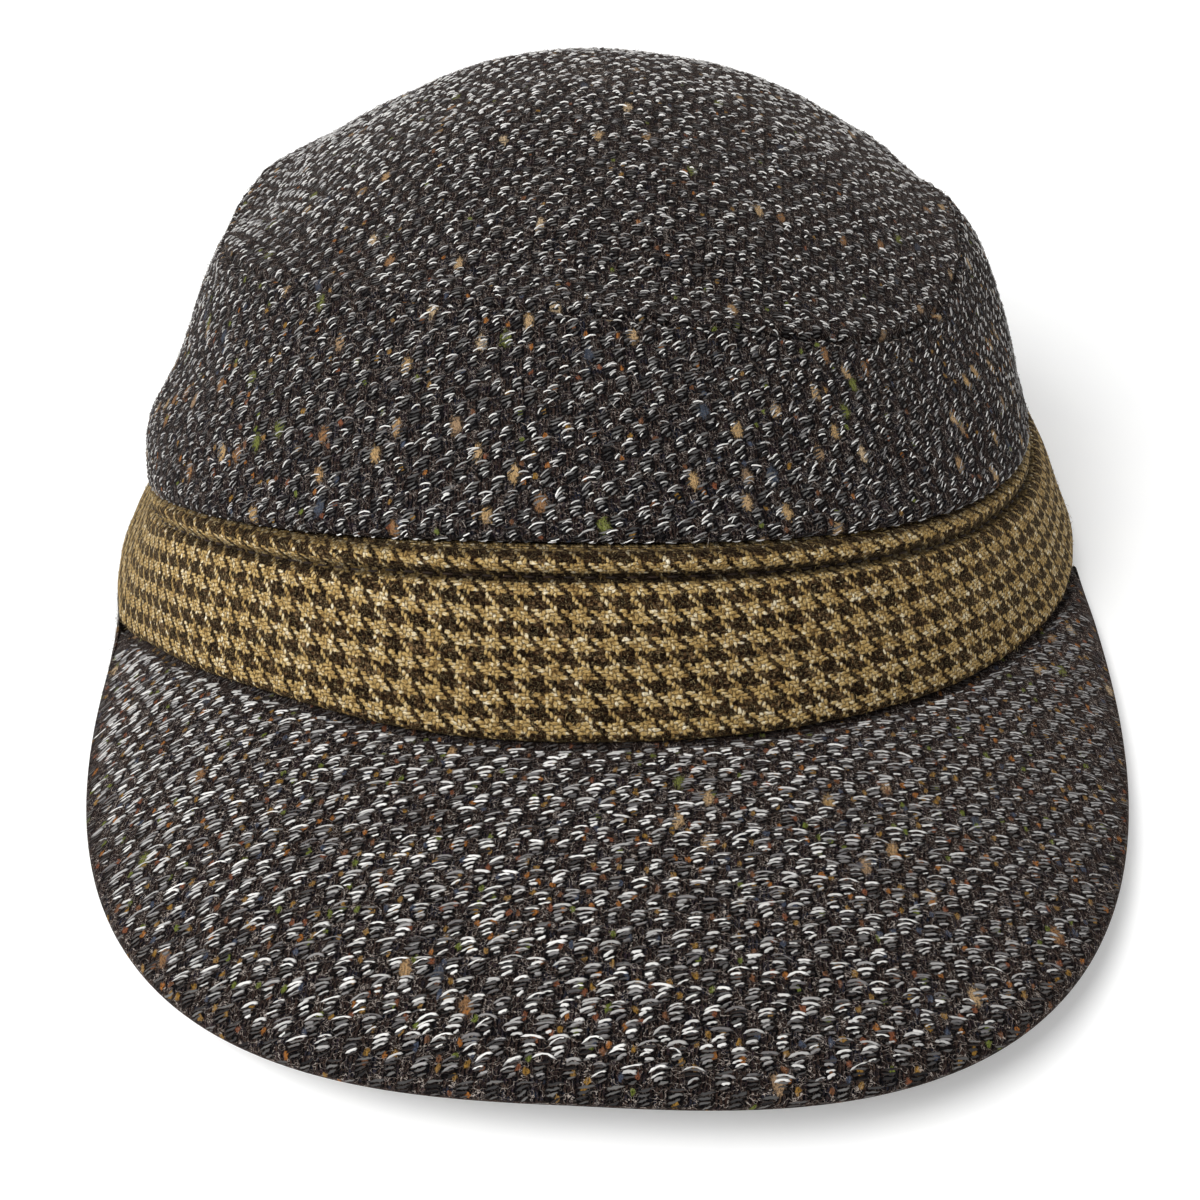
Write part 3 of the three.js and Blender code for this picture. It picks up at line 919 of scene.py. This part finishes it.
class Sheet:
    """The outside of a piece, for finding where a place of the cloth lies."""

    def __init__(self, points, cloth):
        self.points, self.cloth = points, cloth
        self.normals = unit(np.cross(np.gradient(points, axis=0), np.gradient(points, axis=1)))
        self.slopes = np.stack(np.gradient(cloth, axis=(0, 1)), -1)
        self.tree = KDTree(cloth.shape[0] * cloth.shape[1])
        for index, (u, v) in enumerate(cloth.reshape(-1, 2).tolist()):
            self.tree.insert((u, v, 0), index)
        self.tree.balance()

    def read(self, i, j):
        """The points and normals at i columns and j rows, which may lie between the grid's own."""
        i, j = (np.clip(at, 0, size - 1.001) for at, size in zip((i, j), self.points.shape))
        a, b = i.astype(int), j.astype(int)
        s, t = (i - a)[:, None], (j - b)[:, None]
        found = []
        for grid in (self.points, self.normals):
            low = grid[a, b] * (1 - s) + grid[a + 1, b] * s
            high = grid[a, b + 1] * (1 - s) + grid[a + 1, b + 1] * s
            found.append(low * (1 - t) + high * t)
        return found[0], unit(found[1])

    def find(self, places):
        """The points and normals at places of the cloth, and which of them are on the sheet."""
        columns, rows = self.cloth.shape[:2]
        near = np.array([self.tree.find((u, v, 0))[1] for u, v in places.tolist()])
        i, j = near // rows, near % rows
        across, up = (places - self.cloth[i, j]).T
        (u_i, u_j), (v_i, v_j) = np.moveaxis(self.slopes[i, j], 0, -1)
        flat = u_i * v_j - u_j * v_i
        flat = np.where(np.abs(flat) < 1e-9, 1e-9, flat)
        di, dj = (v_j * across - u_j * up) / flat, (u_i * up - v_i * across) / flat
        ok = (np.abs(di) < 1.2) & (np.abs(dj) < 1.2)
        i, j = i + di, j + dj
        return *self.read(i, j), ok & (i > 0) & (i < columns - 1) & (j > 0) & (j < rows - 1)


def strands(node, part, paths, upward, widths, shades, material, tall=1):
    """Thin closed strands. paths is (strand, step, 3). The first and last step are points, and
    each step between has four corners at its width and at tall times its width."""
    count, steps = paths.shape[:2]
    sideways = unit(np.cross(upward, unit(np.gradient(paths, axis=1))))
    middle = paths[:, 1:-1]
    wide = sideways[:, 1:-1] * widths[..., None]
    thick = upward[:, 1:-1] * tall * widths[..., None]
    rings = np.stack([middle + wide, middle + thick, middle - wide, middle - thick], 2)
    points = join([paths[:, :1], rings.reshape(count, -1, 3), paths[:, -1:]], 1)
    each = points.shape[1]
    sides = [(side, (side + 1) % 4) for side in range(4)]
    quads = [(r + a, r + b, r + b + 4, r + a + 4) for r in range(1, each - 5, 4) for a, b in sides]
    tips = [(0, 1 + b, 1 + a, each - 1, each - 5 + a, each - 5 + b) for a, b in sides]
    base = (np.arange(count) * each)[:, None, None]
    quads = (quads + base).reshape(-1, 4)
    tips = (tips + base).reshape(-1, 3)
    # Each strand has its own small range of the map: across it by shade, and along it by step.
    step_of = [0, *np.repeat(np.arange(1, steps - 1), 4), steps - 1]
    side_of = np.array([0, *[-1, 0, 1, 0] * (steps - 2), 0])
    shade = 0.02 + 0.96 * shades[:, None] + 0.004 * side_of
    along = np.linspace(0.02, 0.98, steps)[step_of] + 0 * shade
    places = np.stack([shade, along], -1).reshape(-1, 2)[join([quads.ravel(), tips.ravel()])]
    new_piece(node, part, points.reshape(-1, 3), [quads, tips], [material], {"OFBake": places})


# How far blocks, and the floats in them, stray across and up in a cloth of looseness 1.
BLOCK_STRAY, FLOAT_STRAY = (0.17, 0.12), (0.14, 0.07)
# A float arches up by this much from its ends, which lie this deep in the cloth. The ranges are
# of the lengths and widths of floats as shares, and of the widths of fibres in millimetres.
FLOAT_ARCH, FLOAT_SUNK = 0.3, 0.2
FLOAT_LENGTHS, FLOAT_WIDTHS, FIBRE_WIDTHS = (0.6, 1.3), (0.65, 1.3), (0.022, 0.042)


def white_floats(node, steps, seed, long, thick, steeper, looseness, fades, bowed=0.27):
    """The white weft floats, standing up out of the cloth where the weave draws them. fades says
    how far they go finer, and duller with painted shade, towards the -X side and towards the other."""
    luck, sheet = np.random.default_rng(seed), sheets[node]
    cell = (TWEED_WIDE, TWEED_HIGH / 2)
    first = np.floor(sheet.cloth.min((0, 1)) / cell).astype(int)
    last = np.ceil(sheet.cloth.max((0, 1)) / cell).astype(int)
    columns, rows = np.arange(first[0], last[0] + 1), np.arange(first[1], last[1])[:, None]
    stray = luck.normal(size=(len(rows), 2, len(columns))) * looseness
    u = (columns + 0.5 - 0.5 * (rows % 2)) * TWEED_WIDE + stray[:, 0] * BLOCK_STRAY[0]
    v = rows * TWEED_HIGH / 2 + BLOCK_FOOT + stray[:, 1] * BLOCK_STRAY[1]
    length, middle, slope = np.array(BLOCK).T[..., None]
    up = np.arange(len(BLOCK))[:, None] * FLOAT_APART
    values = (u[:, None] + middle, v[:, None] + up, length / 2, np.radians(slope + steeper))
    u, v, half, slant = (value.ravel() for value in np.broadcast_arrays(*values))
    places = np.stack([u, v], -1)
    places += luck.normal(0, np.array(FLOAT_STRAY) * looseness, places.shape)
    half *= long * luck.uniform(*FLOAT_LENGTHS, len(half))
    slant += luck.normal(0, 0.1 + 0.05 * looseness, len(half))
    way = np.stack([np.cos(slant), np.sin(slant)], -1)
    ok = sheet.find(places)[2] & (luck.uniform(size=len(half)) > 0.09 * looseness)
    places, half, way = places[ok], half[ok], way[ok]

    bow = half * luck.normal(bowed, 0.1, len(half))
    paths, ups, whole = [], [], True
    for share in np.linspace(-1, 1, steps):
        spot = places + way * (half * share)[:, None]
        spot[:, 1] += bow * (1 - share**2)
        point, normal, inside = sheet.find(spot)
        whole = whole & inside
        paths.append(point + normal * (FLOAT_ARCH * (1 - share**2) - FLOAT_SUNK))
        ups.append(normal)
    paths, ups = np.stack(paths, 1)[whole], np.stack(ups, 1)[whole]
    narrowed = 1 - 0.35 * np.linspace(-1, 1, steps)[1:-1] ** 2
    fat = thick * luck.uniform(*FLOAT_WIDTHS, len(paths))[:, None] * narrowed
    shades = luck.beta(2.0, 1.4, len(paths))
    # Painted shade: towards the sides the floats' shades are pulled to one dim shade, and they go
    # finer.
    to_side = paths[:, 0, 0] / FADED_AT
    faded = np.where(to_side < 0, *fades) * np.clip(np.abs(to_side), 0, 1) ** 1.5
    shades += (FADED_SHADE - shades) * faded
    fat *= 1 - 0.3 * faded[:, None]
    strands(node, "floats", paths, ups, fat, shades, white_yarn, tall=1.1)


def loose_fibres(node, count, longest, material, seed):
    """Fine fibres that stand or lie loosely on the cloth."""
    luck, sheet = np.random.default_rng(seed), sheets[node]
    columns, rows = sheet.cloth.shape[:2]
    i = luck.uniform(0, columns - 1.01, count)
    j = luck.uniform(1, rows - 2.01, count)
    root, normal = sheet.read(i, j)
    aside = unit(np.cross(normal, luck.normal(size=(count, 3))))
    bend = np.cross(normal, aside) * luck.normal(0, 0.35, (count, 1))
    length = longest * luck.beta(1.6, 3.5, count)[:, None]
    lean = luck.uniform(0.5, 1.0, (count, 1))
    paths = []
    for s in np.linspace(0, 1, 4):
        flat = aside * (lean * s) + bend * s**2
        up = normal * ((1.05 - lean) * 1.3 * s - 0.35 * lean * s**3)
        paths.append(root + (flat + up) * length + normal * 0.03)
    paths = np.stack(paths, 1)
    paths[..., 2] = np.maximum(0.05, paths[..., 2])
    along = unit(np.gradient(paths, axis=1))
    ups = np.cross(along, unit(np.cross(normal[:, None], along)))
    fat = luck.uniform(*FIBRE_WIDTHS, count)[:, None] * (1.0, 0.7)
    strands(node, "fibres", paths, ups, fat, luck.uniform(size=count), material)


# ---------- the whole

sheets = {build.__name__: Sheet(*build()) for build in (crown_top, crown_wall, band, brim)}
white_floats(
    "crown_top", steps=5, seed=21, long=1.05, thick=0.125, steeper=8, looseness=2.6, fades=(0.5, 0.5),
)
white_floats(
    "crown_wall", steps=5, seed=22, long=1.12, thick=0.11, steeper=4, looseness=2.2, fades=(0.55, 0.6),
)
white_floats(
    "brim", steps=6, seed=23, long=1.12, thick=0.22, steeper=-1, looseness=1.15, fades=(0.4, 0.85),
    bowed=0.4,
)
loose_fibres("crown_top", 3000, 2.6, tweed_fibres, seed=31)
loose_fibres("crown_wall", 4500, 2.6, tweed_fibres, seed=32)
loose_fibres("band", 6500, 1.9, houndstooth_fibres, seed=33)
loose_fibres("brim", 3500, 2.2, tweed_fibres, seed=34)


# ---------- camera, light and the floor

# The camera looks down at the front of the cap from close by.
CAMERA_AZIMUTH, CAMERA_ELEVATION, CAMERA_ROLL = (math.radians(a) for a in (5.03, 32.889, -1.535))
CAMERA_DISTANCE, CAMERA_AIM = 186.6, np.array([5.435, -97.735, 41.298])
CAMERA_LENS = 43.057

# Soft square lights by name, place in metres, size in metres and power in watts, all aimed at
# the middle of the cap.
LIGHTS = (
    ("key", (-0.45, -0.42, 0.67), 0.5, 7.7),
    ("fill", (0.5, -0.7, 0.6), 0.8, 0.25),
    ("back", (0.0, 0.7, 0.8), 0.7, 2.0),
)
LIGHTS_AIM = Vector((0, -0.02, 0.04))
# The light from all round changes between two heights, where 1 is straight overhead, and the glow
# of the floor between two distances in metres: both of them, and how bright it is at each.
SKY, GLOW = (0.25, 0.55, 0.97, 0.33), (0.1, 1.3, 0.24, 0.6)
# The floor's half width and its drop, in metres.
FLOOR_HALF, FLOOR_DROP = 4, 0.0001


def face_along(thing, back, roll=0.0):
    """Turns a camera or a light so that back points behind it."""
    thing.rotation_mode = "QUATERNION"
    thing.rotation_quaternion = back.to_track_quat("Z", "Y") @ Quaternion((0, 0, 1), roll)


def add_camera():
    level = math.cos(CAMERA_ELEVATION)
    back = Vector((
        math.sin(CAMERA_AZIMUTH) * level, -math.cos(CAMERA_AZIMUTH) * level, math.sin(CAMERA_ELEVATION),
    ))
    data = bpy.data.cameras.new("camera")
    data.lens = CAMERA_LENS
    data.clip_start = 0.01
    camera = add_to_scene("camera", data)
    face_along(camera, back, CAMERA_ROLL)
    camera.location = Vector((CAMERA_AIM + SHIFT) * MM) + back * CAMERA_DISTANCE * MM
    bpy.context.scene.camera = camera


def add_lights():
    for name, place, size, power in LIGHTS:
        data = bpy.data.lights.new(name, "AREA")
        data.size = size
        data.energy = power
        light = add_to_scene(name, data)
        light.location = place
        face_along(light, Vector(place) - LIGHTS_AIM)


def add_floor():
    """A pale floor that is lit by a glow of its own far from the cap, so that it has no dark end."""
    n = new_material("pale_floor")
    place = n.add("TexCoord", output=3)
    grain = n.band(n.noise(place, 90.0, 3.0), 0.3, 0.7)
    from_cap = n.add("VectorMath", {0: place}, 1, operation="LENGTH")
    glow = {"Emission Color": "ffffff", "Emission Strength": n.band(from_cap, *GLOW)}
    mesh = bpy.data.meshes.new("floor")
    corners = [(x * FLOOR_HALF, y * FLOOR_HALF, 0) for x, y in ((-1, -1), (1, -1), (1, 1), (-1, 1))]
    mesh.from_pydata(corners, [], [(0, 1, 2, 3)])
    mesh.materials.append(n.finish(n.mix(grain, "f1f1f1", "f3f3f2"), 0.8, **glow))
    floor = add_to_scene("floor", mesh)
    floor.location.z = -FLOOR_DROP


def add_world():
    """White light from all round, brightest near the horizon and softer from above."""
    n = Nodes(bpy.data.worlds.new("studio"))
    height = n.add("SeparateXYZ", {0: n.add("TexCoord")}, 2)
    n.add("OutputWorld", {0: n.add("Background", {0: "ffffff", 1: n.band(height, *SKY)})})
    bpy.context.scene.world = n.owner


add_camera()
add_floor()
add_world()
add_lights()
bpy.context.scene.view_settings.view_transform = "Standard"

bpy.context.view_layer.update()
